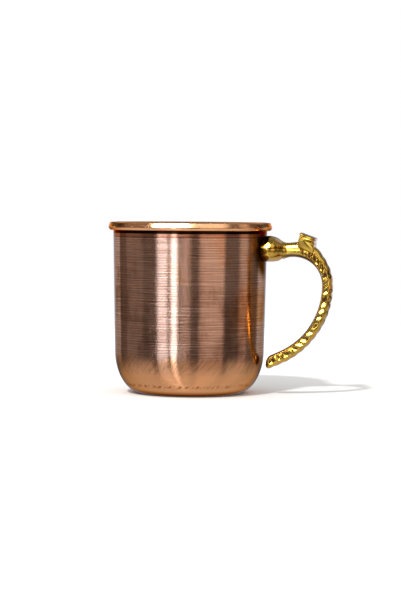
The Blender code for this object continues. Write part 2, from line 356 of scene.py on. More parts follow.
def cup_side(cup, inset, corner_steps=36, wall_steps=24):
    """One face of the sheet from the flat base to the top of the wall."""
    points = []
    for i in range(corner_steps + 1):
        angle = RIGHT_ANGLE * (1.0 - i / corner_steps)
        across = cup.foot_radius - cup.base_radius - inset
        drop = (cup.corner_height - inset) * math.sin(angle)
        points.append((cup.base_radius + across * math.cos(angle), cup.corner_height - drop))
    for i in range(1, wall_steps + 1):
        share = i / wall_steps
        radius = cup.foot_radius + share * (cup.wall_radius - cup.foot_radius) - inset
        points.append((radius, cup.corner_height + share * (cup.wall_top - cup.corner_height)))
    return points


def rim_side(cup, inset, steps=34):
    """One face of the rolled rim, from the wall over the top to its free edge."""
    centre_r = cup.wall_radius - cup.sheet + cup.rim_half_depth
    centre_z = cup.height - cup.rim_half_height
    end_angle = math.radians(-104.0)
    points = []
    # The roller leaves the outer face nearly flat, leaning back a little.
    lean, pressed = math.radians(20.0), 0.3 * MM
    reach = cup.rim_half_depth - pressed - inset
    for i in range(steps + 1):
        angle = math.pi + (end_angle - math.pi) * i / steps
        out = (cup.rim_half_depth - inset) * math.cos(angle)
        up = (cup.rim_half_height - inset) * math.sin(angle)
        over = max(0.0, out * math.cos(lean) + up * math.sin(lean) - reach)
        points.append((centre_r + out - over * math.cos(lean), centre_z + up - over * math.sin(lean)))
    return points


def wrap_round(obj):
    """UV map that follows the lathe: U once round the cup, V the height in centimetres."""
    mesh = obj.data
    layer = mesh.uv_layers.new(name="around")
    co = points_of(mesh)
    loops = np.empty(len(mesh.loops), dtype=np.int64)
    mesh.loops.foreach_get("vertex_index", loops)
    counts = np.empty(len(mesh.polygons), dtype=np.int64)
    mesh.polygons.foreach_get("loop_total", counts)
    turn = np.arctan2(co[loops, 1], co[loops, 0]) / FULL_TURN + 0.5
    centre = face_centres(mesh)
    middle = np.arctan2(centre[:, 1], centre[:, 0]) / FULL_TURN + 0.5
    turn -= np.round(turn - np.repeat(middle, counts))
    uv = np.stack([turn, co[loops, 2] / (10.0 * MM)], axis=1)
    layer.data.foreach_set("uv", uv.ravel())


def turning_marks(tree, around):
    """Rings about 1 mm apart that fade in and out round the wall, over the lathe's even feed lines."""
    rings = noise(tree, stretch(tree, around, (8.0, 24.0, 1.0)), 1.0, 3.0, 0.8)
    ring_tone = tones(tree, rings, ((0.30, 0.45), (0.44, 0.82), (0.52, 1.0), (0.66, 1.0)))
    feed = add_node(tree, "ShaderNodeTexWave", {
        "wave_type": "BANDS", "bands_direction": "Y", "Vector": around,
        "Scale": FULL_TURN / (WAVE_UNIT * FEED_LINE_CM), "Distortion": 0.5, "Detail": 1.0,
    })
    feed_tone = tones(tree, feed.outputs["Fac"], ((0.1, 0.78), (0.6, 1.0)))
    return rings, blend(tree, 1.0, ring_tone, feed_tone, "MULTIPLY")


def tool_scratches(tree, around):
    """Bright thin rings where the tool cut through the patina."""
    scratches = noise(tree, stretch(tree, around, (5.0, 26.0, 1.0), (3.0, 7.0, 0.0)), 1.0, 2.0, 0.6)
    return tones(tree, scratches, ((0.56, 0.0), (0.62, 0.5), (0.68, 0.0)))


def scouring_strokes(tree, slanted):
    """Strokes about 2 mm apart that lean toward the handle."""
    strokes = noise(tree, stretch(tree, slanted, (170.0, 1.6, 1.0)), 1.0, 3.0, 0.65)
    return strokes, tones(tree, strokes, ((0.34, 0.72), (0.5, 0.97), (0.6, 1.0)))


def grip_dabs(tree, slanted, height):
    """A row of short dark dabs round the corner, where the foot was gripped."""
    dabs = noise(tree, stretch(tree, slanted, (120.0, 3.0, 1.0), (0.5, 0.2, 0.0)), 1.0, 1.0)
    row = tones_by_height(tree, height, CORNER_LINE, ((4.6, 0.0), (5.2, 1.0), (6.0, 1.0), (6.7, 0.0)))
    return blend(tree, reckon(tree, "MULTIPLY", span(tree, dabs, 0.48, 0.6), row), WHITE, linear("#CDB6A6"))


def patinated_copper(cup):
    """Brushed copper aged brown: turned rings round the wall, warm cross-scoured copper at the foot."""
    material, tree, shader = new_metal("brushed_patinated_copper")
    around = add_node(tree, "ShaderNodeUVMap", {"uv_map": "around"}).outputs["UV"]
    place = object_place(tree)
    height = height_of(tree, place)
    turned_by = add_node(tree, "ShaderNodeSeparateXYZ", {"Vector": around}).outputs
    leaning = reckon(tree, "MULTIPLY_ADD", turned_by["Y"], STROKE_LEAN, turned_by["X"])
    slanted = add_node(tree, "ShaderNodeCombineXYZ", {"X": leaning, "Y": turned_by["Y"]}).outputs["Vector"]
    rings, turned = turning_marks(tree, around)
    strokes, stroke_tone = scouring_strokes(tree, slanted)

    # How far down the foot: 0 on the wall, nearly 1 in the scoured belt, 1 on the bare corner.
    ragged_height = reckon(tree, "MULTIPLY_ADD", noise(tree, place, 160.0, 3.0), 6.0 * MM, height)
    belt = span(tree, ragged_height, 27.0 * MM, 20.0 * MM, 0.0, BELT_SHARE, "SMOOTHSTEP")
    corner = span(tree, height, 12.8 * MM, 11.8 * MM, way="SMOOTHSTEP")
    foot = reckon(tree, "MULTIPLY_ADD", corner, 1.0 - BELT_SHARE, belt)
    on_foot = span(tree, foot, 0.0, 0.45)
    scoured = blend(tree, corner, stroke_tone, grip_dabs(tree, slanted, height))
    marks = blend(tree, on_foot, turned, scoured)

    # Tarnish: soft stains 20 to 40 mm across, from brown to bare orange, with one rubbed orange patch.
    stains = noise(tree, stretch(tree, place, (45.0, 45.0, 22.0), (4.0, 2.0, 9.0)), 1.0, 4.0, 0.6)
    stain = tones(tree, stains, (
        (0.32, linear("#B4A79F")), (0.46, linear("#F2EDEC")), (0.58, 1.0), (0.7, linear("#FFE3C4")),
    ))
    ragged = reckon(tree, "MULTIPLY_ADD", stains, 30.0 * MM, distance_from(tree, place, RUBBED_SPOT))
    patch = span(tree, ragged, 34.0 * MM, 22.0 * MM, 0.0, 0.95, "SMOOTHSTEP")
    rubbed = reckon(tree, "MAXIMUM", foot, patch)
    metal = blend(tree, rubbed, tuple(cup.patina), tuple(cup.worn))
    off_foot = reckon(tree, "MULTIPLY_ADD", foot, -1.2, 1.0, clamp=True)
    stained = blend(tree, off_foot, metal, stain, "MULTIPLY")
    marked = blend(tree, 1.0, stained, marks, "MULTIPLY")
    on_wall = reckon(tree, "MULTIPLY_ADD", foot, -1.6, 1.0, clamp=True)
    scratched = reckon(tree, "MULTIPLY", on_wall, tool_scratches(tree, around))
    lined = blend(tree, scratched, marked, linear("#F0C9AE"))

    # Painted shade: the wall is darkened at the edge of the base and in the crease under the rim; the ramp is
    # also a little darker from 85 to 86 mm.
    painted_shade_by_height = tones_by_height(tree, height, cup.height, (
        (0.0, linear("#160C06")), (0.7, linear("#4A2E20")), (1.8, linear("#C8A890")), (3.2, 1.0), (84.7, 1.0),
        (85.2, linear("#C8A08A")), (86.0, linear("#F6D6C6")), (87.4, linear("#E8D0C0")),
        (88.1, linear("#D8BCAE")), (88.35, linear("#140A08")),
    ))
    with_painted_shade = blend(tree, 1.0, lined, painted_shade_by_height, "MULTIPLY")
    # Painted shadow and painted dark reflection on the wall round the handle's boss.
    from_boss = distance_from(tree, place, BOSS_ON_WALL)
    painted_boss_shadow = span(tree, from_boss, 18.5 * MM, 11.5 * MM, 0.0, 0.88, "SMOOTHSTEP")
    colour = blend(tree, painted_boss_shadow, with_painted_shade, linear("#160C05"))
    dress(tree, shader, colour, span(tree, rings, 0.3, 0.7, 0.155, 0.185))
    emboss(tree, shader, blend(tree, on_foot, rings, strokes), 0.5, 0.04 * MM)
    shader.inputs["Anisotropic"].default_value = 1.0
    shader.inputs["Anisotropic Rotation"].default_value = 0.25
    shader.inputs["Specular Tint"].default_value = linear("#B9A79C")
    return material


def buffed_copper(cup):
    """Buffed copper of the rim: mirror bright, with faint buffing marks round it."""
    material, tree, shader = new_metal("buffed_copper")
    place = object_place(tree)
    marks = noise(tree, stretch(tree, place, (90.0, 90.0, 900.0)), 5.0, 4.0)
    colour = blend(tree, marks, linear("#E0A070"), tuple(cup.polished))
    # Painted shade: the underside of the roll is darkened, but not the side toward the drink.
    roll_foot = cup.height - 2.0 * cup.rim_half_height
    above = span(tree, height_of(tree, place), roll_foot + 0.1 * MM, roll_foot + 0.4 * MM)
    level = {"operation": "MULTIPLY", 0: place, 1: (1.0, 1.0, 0.0)}
    flat = add_node(tree, "ShaderNodeVectorMath", level).outputs["Vector"]
    radius = distance_from(tree, flat, (0.0, 0.0, 0.0))
    inside = span(tree, radius, cup.wall_radius - 0.3 * MM, cup.wall_radius - 0.6 * MM)
    unshaded = reckon(tree, "MAXIMUM", above, inside)
    dress(tree, shader, blend(tree, unshaded, linear("#1C0E08"), colour), span(tree, marks, 0.3, 0.7, 0.13, 0.2))
    shader.inputs["Specular Tint"].default_value = linear("#E09A70")
    return material


def spun_copper():
    """Bare copper inside the cup: fine spinning rings and a soft satin shine."""
    material, tree, shader = new_metal("spun_bare_copper")
    rings = noise(tree, stretch(tree, object_place(tree), (40.0, 40.0, 1100.0)), 5.0, 4.0)
    colour = blend(tree, rings, linear("#B97C57"), linear("#EBAA82"))
    tree.links.new(colour, shader.inputs["Base Color"])
    emboss(tree, shader, rings, 0.5, 0.03 * MM)
    shader.inputs["Roughness"].default_value = 0.27
    shader.inputs["Anisotropic"].default_value = 0.6
    shader.inputs["Anisotropic Rotation"].default_value = 0.25
    return material


def sort_cup_faces(cup, mesh):
    """0 on the outer wall, 1 on the rolled rim, 2 inside."""
    centres = face_centres(mesh)
    radius = np.hypot(centres[:, 0], centres[:, 1])
    climb = np.clip((centres[:, 2] - cup.corner_height) / (cup.wall_top - cup.corner_height), 0.0, 1.0)
    wall_middle = cup.foot_radius + climb * (cup.wall_radius - cup.foot_radius) - 0.5 * cup.sheet
    sine = np.clip((cup.corner_height - centres[:, 2]) / (cup.corner_height - 0.5 * cup.sheet), 0.0, 1.0)
    across = cup.foot_radius - cup.base_radius - 0.5 * cup.sheet
    corner_middle = cup.base_radius + across * np.sqrt(1.0 - sine ** 2)
    low = centres[:, 2] < cup.corner_height
    inside = np.where(low, radius < corner_middle, radius < wall_middle) & (centres[:, 2] > 0.5 * cup.sheet)
    slots = np.where(inside, 2, 0)
    slots[centres[:, 2] > cup.height - 2.0 * cup.rim_half_height - 0.1 * MM] = 1
    mesh.polygons.foreach_set("material_index", slots.astype(np.int32))


class MUG_OT_cup(bpy.types.Operator):
    """Spin the copper cup with its rolled rim"""

    bl_idname = "mug.cup"
    bl_label = "Cup"

    def execute(self, context):
        cup = context.scene.mug_cup
        outside = [(0.0, 0.0)] + cup_side(cup, 0.0) + rim_side(cup, 0.8 * MM)
        inside = [(0.0, cup.sheet)] + cup_side(cup, cup.sheet) + rim_side(cup, 0.0)
        body = turn_outline("cup_body", outside + inside[::-1], 288)
        cut(body, fixing_hole(context), "DIFFERENCE")
        wrap_round(body)
        finish_piece(
            body, "body_shell", (patinated_copper(cup), buffed_copper(cup), spun_copper())
        )
        sort_cup_faces(cup, body.data)
        smooth_all(body, 40.0)
        return {"FINISHED"}


def fixing_hole(context, end_x=60.0 * MM):
    """Tool that drills the screw's hole along the arm's line."""
    start_x = 30.0 * MM
    radius = context.scene.mug_fixing.shank_radius + GAP
    deselect_all()
    bpy.ops.mesh.primitive_cylinder_add(
        vertices=48, radius=radius, depth=end_x - start_x,
        location=(0.5 * (start_x + end_x), 0.0, context.scene.mug_handle.arm_height),
        rotation=(0.0, RIGHT_ANGLE, 0.0),
    )
    tool = bpy.context.object
    settle(tool)
    return tool


def wall_cone(cup, offset):
    """Tool that follows the taper of the wall at a set distance from it."""
    low, high = 60.0 * MM, 100.0 * MM
    slope = (cup.wall_radius - cup.foot_radius) / (cup.wall_top - cup.corner_height)
    radii = [cup.foot_radius + slope * (z - cup.corner_height) + offset for z in (low, high)]
    deselect_all()
    bpy.ops.mesh.primitive_cone_add(
        vertices=360, radius1=radii[0], radius2=radii[1], depth=high - low,
        location=(0.0, 0.0, 0.5 * (low + high)),
    )
    tool = bpy.context.object
    settle(tool)
    return tool


# ---------------------------------------------------------------- handle

ARM_START = 40.4 * MM
ARM_END = 57.54 * MM
ARCH_RADIUS = 18.7 * MM
LOWER_RADIUS = 43.4 * MM
LOWER_ANGLE = math.radians(66.0)
TIP_LENGTH = 8.2 * MM
ARCH_FROM = ARM_END - ARM_START
LOWER_FROM = ARCH_FROM + RIGHT_ANGLE * ARCH_RADIUS
BAR_LENGTH = LOWER_FROM + LOWER_RADIUS * LOWER_ANGLE + TIP_LENGTH
SHOULDER_AT = ARCH_FROM + math.radians(24.0) * ARCH_RADIUS
KNUCKLES_FROM = ARCH_FROM + math.radians(31.0) * ARCH_RADIUS

# The boss's middle, and the half sizes of boss, waist, tail, tip and the shoulder under the thumb rest.
BOSS_X = 45.0 * MM
BOSS_SIZE = (7.6 * MM, 10.2 * MM, 7.4 * MM)
BOSS_HALF_LENGTH = 7.4 * MM
BOSS_UNDER_LENGTH = 10.5 * MM
BOSS_HALF_WIDTH = 10.2 * MM
BOSS_RISE = 7.5 * MM
BOSS_DROP = 6.5 * MM
WALLWARD_TAPER = 0.45
WAIST_HEIGHT, TAIL_THINNING, TIP_GROWTH = 3.8 * MM, 0.9 * MM, 0.4 * MM
WAIST_WIDTH, TAIL_WIDENING = 3.6 * MM, 0.6 * MM
TIP_GROWTH_LENGTH = 32.0 * MM
SHOULDER_RISE, SHOULDER_SPREAD = 1.8 * MM, 6.0 * MM
TIP_ROUNDING, TIP_LEAN = 2.8 * MM, 0.5
HAMMER_BLOWS = 30
GROOVE_DEPTH, BACK_NOTCH = 0.3 * MM, 0.25 * MM


def ease(value, low, high):
    share = np.clip((value - low) / (high - low), 0.0, 1.0)
    return share * share * (3.0 - 2.0 * share)


def blend_larger(first, second):
    return (first ** 6 + second ** 6) ** (1.0 / 6.0)


def bar_line(along, arm_height):
    """Centre line of the bar: its points, the way its back faces and the way it runs on."""
    arch_z = arm_height - ARCH_RADIUS
    turn = RIGHT_ANGLE - np.clip((along - ARCH_FROM) / ARCH_RADIUS, 0.0, RIGHT_ANGLE)
    drop = np.clip((along - LOWER_FROM) / LOWER_RADIUS, 0.0, LOWER_ANGLE)
    lower = along > LOWER_FROM
    facing = np.where(lower, -drop, turn)
    back = np.stack([np.cos(facing), np.zeros_like(facing), np.sin(facing)], axis=1)
    onward = np.stack([back[:, 2], np.zeros_like(facing), -back[:, 0]], axis=1)
    reach = np.where(lower, LOWER_RADIUS, ARCH_RADIUS)
    point = reach[:, None] * back
    point[:, 0] += np.where(lower, ARM_END + ARCH_RADIUS - LOWER_RADIUS, ARM_END)
    point[:, 2] += arch_z
    before = np.minimum(along - ARCH_FROM, 0.0)
    beyond = np.maximum(along - LOWER_FROM - LOWER_RADIUS * LOWER_ANGLE, 0.0)
    return point + (before + beyond)[:, None] * onward, back, onward


def boss_share(along, half_length):
    """Size of the round boss, 1 at its middle; it keeps nearly all its girth to the wall."""
    offset = (ARM_START + along - BOSS_X) / half_length
    offset = np.where(offset < 0.0, WALLWARD_TAPER * offset, offset)
    return np.sqrt(np.maximum(0.0001, 1.0 - offset * offset))


def bar_sections(along):
    """Half heights toward the back and the inner side, half width and corner power, without creases."""
    window = np.linspace(-2.0, 2.0, 9) * MM
    return np.mean([plain_sections(np.maximum(along + shift, 0.0)) for shift in window], axis=0)


def plain_sections(along):
    """The bar's sizes where boss, arm, shoulder and tail simply meet."""
    to_tail = ease(along, ARCH_FROM, LOWER_FROM)
    to_tip = ease(along, BAR_LENGTH - TIP_GROWTH_LENGTH, BAR_LENGTH - TIP_LENGTH)
    height = WAIST_HEIGHT - TAIL_THINNING * to_tail + TIP_GROWTH * to_tip
    boss = boss_share(along, BOSS_HALF_LENGTH)
    width = blend_larger(WAIST_WIDTH + TAIL_WIDENING * to_tail, BOSS_HALF_WIDTH * boss)
    inner = blend_larger(height, BOSS_DROP * boss_share(along, BOSS_UNDER_LENGTH))
    offset = (along - SHOULDER_AT) / SHOULDER_SPREAD
    back = blend_larger(height, BOSS_RISE * boss) + SHOULDER_RISE * np.exp(-offset * offset)
    return np.stack([back, inner, width, 1.0 - 0.28 * to_tail])


def knuckle_relief(handle, along, outward):
    """Depth cut into the bar's side and back, and how much painted shade a point gets."""
    start = along - KNUCKLES_FROM
    fade = ease(start, -1.8 * handle.knuckle_pitch, -0.6 * handle.knuckle_pitch)
    # The spacing swings a little, so that no two knuckles are alike.
    swing = 0.16 * np.sin(0.35 * start / MM) + 0.08 * np.sin(0.83 * start / MM)
    count = start / handle.knuckle_pitch + 0.42 * outward + swing
    number = np.floor(count)
    phase = count - number - 0.5
    # Each knuckle is a small roof across the side: one slope faces the arm, the other the tip.
    ridge = 0.13 * np.sin(2.4 * number)
    slope = np.abs(phase - ridge) / np.where(phase < ridge, 0.5 + ridge, 0.5 - ridge)
    row = ease(outward, -0.55, -0.3) * (1.0 - ease(outward, 0.15, 0.5))
    side = handle.knuckle_depth * (0.8 + 0.3 * np.sin(1.3 * number)) * slope * row
    groove = np.exp(-((outward + 0.55) / 0.07) ** 2)
    groove *= ease(along, ARCH_FROM, LOWER_FROM - 12.0 * MM)
    wave = np.abs(np.cos(math.pi * start / handle.knuckle_pitch)) ** 3
    band = ease(outward, 0.45, 0.6)
    # Painted shade on each knuckle's slope that faces the tip; darker also in the groove by the rail.
    shaded_slope = ease(phase, ridge + 0.14, ridge + 0.26) * (1.0 - 0.5 * ease(phase, 0.36, 0.5))
    painted_shade = np.maximum(fade * shaded_slope * row, 0.8 * groove)
    # Painted shade under the arm, in the finger gap.
    shade_under_arm = ease(-outward, 0.5, 0.66) * ease(along, 11.0 * MM, 14.0 * MM)
    shade_under_arm *= 1.0 - ease(along, ARCH_FROM + 12.0 * MM, ARCH_FROM + 19.0 * MM)
    painted_shade = np.maximum(painted_shade, shade_under_arm)
    return fade * side + GROOVE_DEPTH * groove, fade * BACK_NOTCH * wave * band, painted_shade


def roll_bar(handle):
    """Roll a flat grid into the handle's bar: one grid row is one cross section."""
    deselect_all()
    bpy.ops.mesh.primitive_grid_add(x_subdivisions=96, y_subdivisions=440, size=2.0)
    bar = bpy.context.object
    bar.name = "handle_casting"
    flat = points_of(bar.data)
    angle = (flat[:, 0] + 1.0) * math.pi
    along = 0.5 * (flat[:, 1] + 1.0) * BAR_LENGTH
    centre, back_way, onward = bar_line(along, handle.arm_height)
    back, inner, width, power = bar_sections(along)
    across = np.sign(np.sin(angle)) * np.abs(np.sin(angle)) ** power
    outward = np.sign(np.cos(angle)) * np.abs(np.cos(angle)) ** power
    side_cut, back_cut, painted_shade = knuckle_relief(handle, along, outward)
    depth = np.where(outward < 0.0, inner, back - back_cut)
    inward = np.maximum(0.0, along - BAR_LENGTH + TIP_ROUNDING) / TIP_ROUNDING
    size = np.sqrt(1.0 - 0.8 * inward * inward)
    lean = TIP_LEAN * ease(along, BAR_LENGTH - TIP_LENGTH, BAR_LENGTH)
    co = centre + (depth * size * outward)[:, None] * (back_way + lean[:, None] * onward)
    co[:, 1] += size * (width - side_cut) * across
    hammer_boss(handle, co)
    move_points(bar.data, co)
    # Painted shade on the end face of the tip.
    shaded_tip_end = ease(along, BAR_LENGTH - 1.5 * MM, BAR_LENGTH - 0.5 * MM)
    painted_shade = np.maximum(painted_shade * (np.abs(across) > 0.3), shaded_tip_end)
    layer = bar.data.attributes.new("painted_shade", "FLOAT", "POINT")
    layer.data.foreach_set("value", painted_shade.astype(np.float32))
    close_up(bar)
    return bar


def hammer_boss(handle, co):
    """Flatten the round boss with a spiral of hammer blows."""
    size = np.array(BOSS_SIZE)
    middle = np.array((BOSS_X, 0.0, handle.arm_height))
    # The blows land on the boss only, not on the arm behind it or the tail below.
    near = (co[:, 0] < BOSS_X + 6.6 * MM) & (co[:, 2] > handle.arm_height - 9.0 * MM)
    for i in range(HAMMER_BLOWS):
        along_x = -0.3 + (i + 0.5) / HAMMER_BLOWS
        turn = 2.4 * i
        ring = math.sqrt(max(0.0, 1.0 - along_x * along_x))
        direction = np.array((along_x, ring * math.cos(turn), ring * math.sin(turn)))
        normal = direction / size
        normal /= np.linalg.norm(normal)
        depth = handle.hammer_depth * (0.8 + 0.4 * math.sin(1.7 * i))
        reach = float(np.dot(size * direction, normal)) - depth
        over = (co - middle) @ normal - reach
        hit = near & (over > 0.0)
        co[hit] -= over[hit, None] * normal


def thumb_rest():
    """The flared block of the thumb rest, drawn down in steps from its top plate."""
    tilt = math.radians(22.0)
    half_length, half_width, depth = 4.4 * MM, 5.2 * MM, 8.6 * MM
    deselect_all()
    bpy.ops.mesh.primitive_plane_add(size=1.0)
    rest = bpy.context.object
    rest.scale = (2.0 * half_length, 2.0 * half_width, 1.0)
    settle(rest)
    edit_points()
    bpy.ops.mesh.bevel(offset=0.8 * MM, segments=4, affect="VERTICES")
    bpy.ops.mesh.select_all(action="SELECT")
    # Each step: drop below the step before, and how far the sides are then set in from the plate.
    steps = (
        (0.0, 0.35), (0.4, 0.0), (0.7, 0.05), (0.3, 0.5), (0.2, 0.55), (1.0, 0.4), (0.3, 0.35), (0.3, 0.6),
        (0.3, 0.62), (3.5, 0.8), (1.6, 2.2),
    )
    last = 0.0
    for drop, inset in steps:
        if drop:
            bpy.ops.mesh.extrude_region_move(TRANSFORM_OT_translate={"value": (0.0, 0.0, -drop * MM)})
        grow_x = (half_length - inset * MM) / (half_length - last)
        grow_y = (half_width - inset * MM) / (half_width - last)
        bpy.ops.transform.resize(value=(grow_x, grow_y, 1.0), center_override=(0.0, 0.0, 0.0))
        last = inset * MM
    bpy.ops.object.mode_set(mode="OBJECT")
    close_up(rest)
    co = points_of(rest.data)
    fall = -co[:, 2] / MM
    # Painted shade in two bands under the top plate.
    shaded_bands = ((fall > 1.2) & (fall < 1.5)) | ((fall > 2.8) & (fall < 3.3))
    layer = rest.data.attributes.new("painted_shade", "FLOAT", "POINT")
    layer.data.foreach_set("value", shaded_bands.astype(np.float32))
    # The outer end drops straight down into the back of the arch, with no overhang.
    push = -co[:, 2] * math.tan(tilt) * np.clip(-co[:, 2] / depth + 0.5, 0.0, 1.0)
    co[:, 0] += np.where(co[:, 0] > 0.0, push, 0.0)
    up = np.array((math.sin(tilt), 0.0, math.cos(tilt)))
    onward = np.array((math.cos(tilt), 0.0, -math.sin(tilt)))
    top = np.array((65.8 * MM, 0.0, 86.5 * MM))
    placed = top + co[:, :1] * onward + co[:, 2:] * up
    placed[:, 1] = co[:, 1]
    move_points(rest.data, placed)
    return rest


def shade_boss_foot(obj):
    """Painted shade and a painted dark reflection at the foot of the boss, beside the wall."""
    mesh = obj.data
    co = points_of(mesh)
    off_wall = np.hypot(co[:, 0], co[:, 1]) - WALL_AT_BOSS
    layer = mesh.attributes["painted_shade"]
    painted_shade = np.empty(len(co), dtype=np.float32)
    layer.data.foreach_get("value", painted_shade)
    painted_shade = np.clip(np.maximum(painted_shade, 1.0 - ease(off_wall, 0.1 * MM, 0.6 * MM)), 0.0, 1.0)
    layer.data.foreach_set("value", painted_shade.astype(np.float32))


def cast_brass(handle):
    """Cast brass, with painted shade on the knuckles, in the grooves, under the arm, at the tip and at the
    boss's foot.
    """
    material, tree, shader = new_metal("polished_cast_brass")
    place = object_place(tree)
    painted_shade = add_node(tree, "ShaderNodeAttribute", {"attribute_name": "painted_shade"}).outputs["Fac"]
    # Tarnish in soft clouds about 6 mm across.
    bright = blend(tree, noise(tree, place, 170.0, 3.0), linear("#A67E18"), tuple(handle.brass))
    colour = blend(tree, painted_shade, bright, tuple(handle.painted_shade))
    dress(tree, shader, colour, reckon(tree, "MULTIPLY_ADD", painted_shade, 0.2, 0.13))
    # Casting skin: shallow dimples about 1.2 mm across left under the polish.
    emboss(tree, shader, noise(tree, place, 800.0, 2.0), 0.25, 0.05 * MM)
    shader.inputs["Specular Tint"].default_value = linear("#C79E4C")
    # A thin clear lacquer gives the brass its white glints.
    shader.inputs["Coat Weight"].default_value = 0.9
    shader.inputs["Coat Roughness"].default_value = 0.06
    shader.inputs["Coat IOR"].default_value = 1.5
    return material


class MUG_OT_handle(bpy.types.Operator):
    """Shape the cast brass handle with its boss, thumb rest and knuckled tail"""

    bl_idname = "mug.handle"
    bl_label = "Handle"

    def execute(self, context):
        handle = context.scene.mug_handle
        casting = roll_bar(handle)
        cut(casting, thumb_rest(), "UNION")
        cut(casting, wall_cone(context.scene.mug_cup, GAP), "DIFFERENCE")
        cut(casting, fixing_hole(context, 50.0 * MM), "DIFFERENCE")
        shade_boss_foot(casting)
        finish_piece(casting, "handle", (cast_brass(handle),))
        smooth_all(casting, 42.0)
        return {"FINISHED"}


# ---------------------------------------------------------------- washer and screw

def turned_brass(name, fixing, ring_centre):
    """Machined brass: fine lathe rings and a satin shine."""
    material, tree, shader = new_metal(name)
    place = object_place(tree)
    centred = stretch(tree, place, (1.0, 1.0, 1.0), tuple(-x for x in ring_centre))
    rings = add_node(tree, "ShaderNodeTexWave", {
        "wave_type": "RINGS", "rings_direction": "X", "Vector": centred,
        "Scale": 500.0, "Distortion": 1.0, "Detail": 2.0,
    }).outputs["Fac"]
    colour = blend(tree, noise(tree, place, 300.0, 3.0), linear("#A8823A"), tuple(fixing.brass))
    dress(tree, shader, colour, span(tree, rings, 0.0, 1.0, 0.2, 0.34))
    emboss(tree, shader, rings, 0.3, 0.02 * MM)
    return material


class MUG_OT_washer(bpy.types.Operator):
    """Cut the saddle washer that lies against the inside of the wall"""

    bl_idname = "mug.washer"
    bl_label = "Washer"

    def execute(self, context):
        cup, fixing = context.scene.mug_cup, context.scene.mug_fixing
        arm_z = context.scene.mug_handle.arm_height
        start_x, end_x = WASHER_LOW.x, 60.0 * MM
        deselect_all()
        bpy.ops.mesh.primitive_cylinder_add(
            vertices=96, radius=fixing.washer_radius, depth=end_x - start_x,
            location=(0.5 * (start_x + end_x), 0.0, arm_z), rotation=(0.0, RIGHT_ANGLE, 0.0),
        )
        washer = bpy.context.object
        washer.name = "saddle_washer_ring"
        settle(washer)
        cut(washer, wall_cone(cup, -cup.sheet - GAP), "INTERSECT")
        cut(washer, fixing_hole(context), "DIFFERENCE")
        apply_modifier(washer, "BEVEL", {"width": 0.15 * MM, "segments": 3, "limit_method": "ANGLE",
                                         "angle_limit": math.radians(50.0)})
        finish_piece(
            washer, "saddle_washer",
            (turned_brass("turned_washer_brass", fixing, (start_x, 0.0, arm_z)),),
        )
        smooth_all(washer, 35.0)
        return {"FINISHED"}


def screw_outline(fixing):
    """Half outline of the pan-head screw: radius, and distance outward from the head's seat."""
    head_height, head_edge, chamfer = 2.4 * MM, 0.9 * MM, 0.5 * MM
    length = SCREW_HIGH.x - WASHER_LOW.x + GAP
    steps = 14
    outline = []
    for i in range(steps + 1):
        angle = RIGHT_ANGLE * i / steps
        rise = head_edge + (head_height - head_edge) * math.cos(angle)
        outline.append((fixing.head_radius * math.sin(angle), rise))
    outline += [
        (fixing.head_radius, 0.12 * MM), (fixing.head_radius - 0.12 * MM, 0.0), (fixing.shank_radius, 0.0),
        (fixing.shank_radius, chamfer - length), (fixing.shank_radius - chamfer, -length), (0.0, -length),
    ]
    return outline


class MUG_OT_screw(bpy.types.Operator):
    """Turn the slotted screw that holds the handle"""

    bl_idname = "mug.screw"
    bl_label = "Screw"

    def execute(self, context):
        fixing = context.scene.mug_fixing
        arm_z = context.scene.mug_handle.arm_height
        seat_x = WASHER_LOW.x - GAP
        screw = turn_outline("pan_screw", screw_outline(fixing), 64)
        screw.matrix_world = Matrix.Translation((seat_x, 0.0, arm_z)) @ Matrix.Rotation(-RIGHT_ANGLE, 4, "Y")
        settle(screw)
        slot_depth = 1.1 * MM
        deselect_all()
        bpy.ops.mesh.primitive_cube_add(size=1.0, location=(SCREW_LOW.x, 0.0, arm_z))
        slot = bpy.context.object
        slot.scale = (2.0 * slot_depth, 1.0 * MM, 4.0 * fixing.head_radius)
        settle(slot)
        cut(screw, slot, "DIFFERENCE")
        apply_modifier(screw, "BEVEL", {"width": 0.06 * MM, "segments": 2, "limit_method": "ANGLE",
                                        "angle_limit": math.radians(40.0)})
        finish_piece(
            screw, "handle_screw",
            (turned_brass("turned_screw_brass", fixing, (seat_x, 0.0, arm_z)),),
        )
        smooth_all(screw, 35.0)
        return {"FINISHED"}


# ---------------------------------------------------------------- stage

# Studio panels seen from the cup: from and to in degrees of azimuth, white and strength. 0 is in front.
DAYLIGHT, WARM_WHITE = "#D4E4FF", "#FFEFEA"
ROOM_LEVEL = 0.12
PANEL_EDGE = 1.5
PANELS = (
    (-180, -118, DAYLIGHT, 0.7),
    (-96, -62, WARM_WHITE, 0.2),
    (-35, -21, DAYLIGHT, 2.0),
    (-13, -7, DAYLIGHT, 4.5),
    (3, 14, WARM_WHITE, 0.4),
    (29, 66, WARM_WHITE, 0.65),
    (95, 110, WARM_WHITE, 0.45),
    (140, 180, DAYLIGHT, 0.7),
)
# How strong the panels are by height above the horizon, and the ground and overhead glow, in degrees.
SHARES = (
    (-90, 0.3), (-30, 0.3), (-16, 0.5), (-6, 0.6), (-5, 2.2), (8, 2.2),
    (10, 0.3), (20, 0.3), (22, 1.5), (34, 1.5), (37, 0.0), (90, 0.0),
)
SIDE_GLOW = (
    (-90, 0.85), (-30, 0.8), (-16, 0.5), (-11, 0.0), (32, 0.0), (38, 0.4), (64, 0.4), (67, 0.3), (90, 0.3),
)
FRONT_GLOW = (
    (-90, 0.9), (-36, 0.8), (-26, 0.25), (-11, 0.04), (30, 0.0), (36, 1.4), (60, 1.4), (66, 0.1), (90, 0.3),
)
PANEL_PEAK = 6.0
FRONT_FROM, FRONT_TO = -45, 75
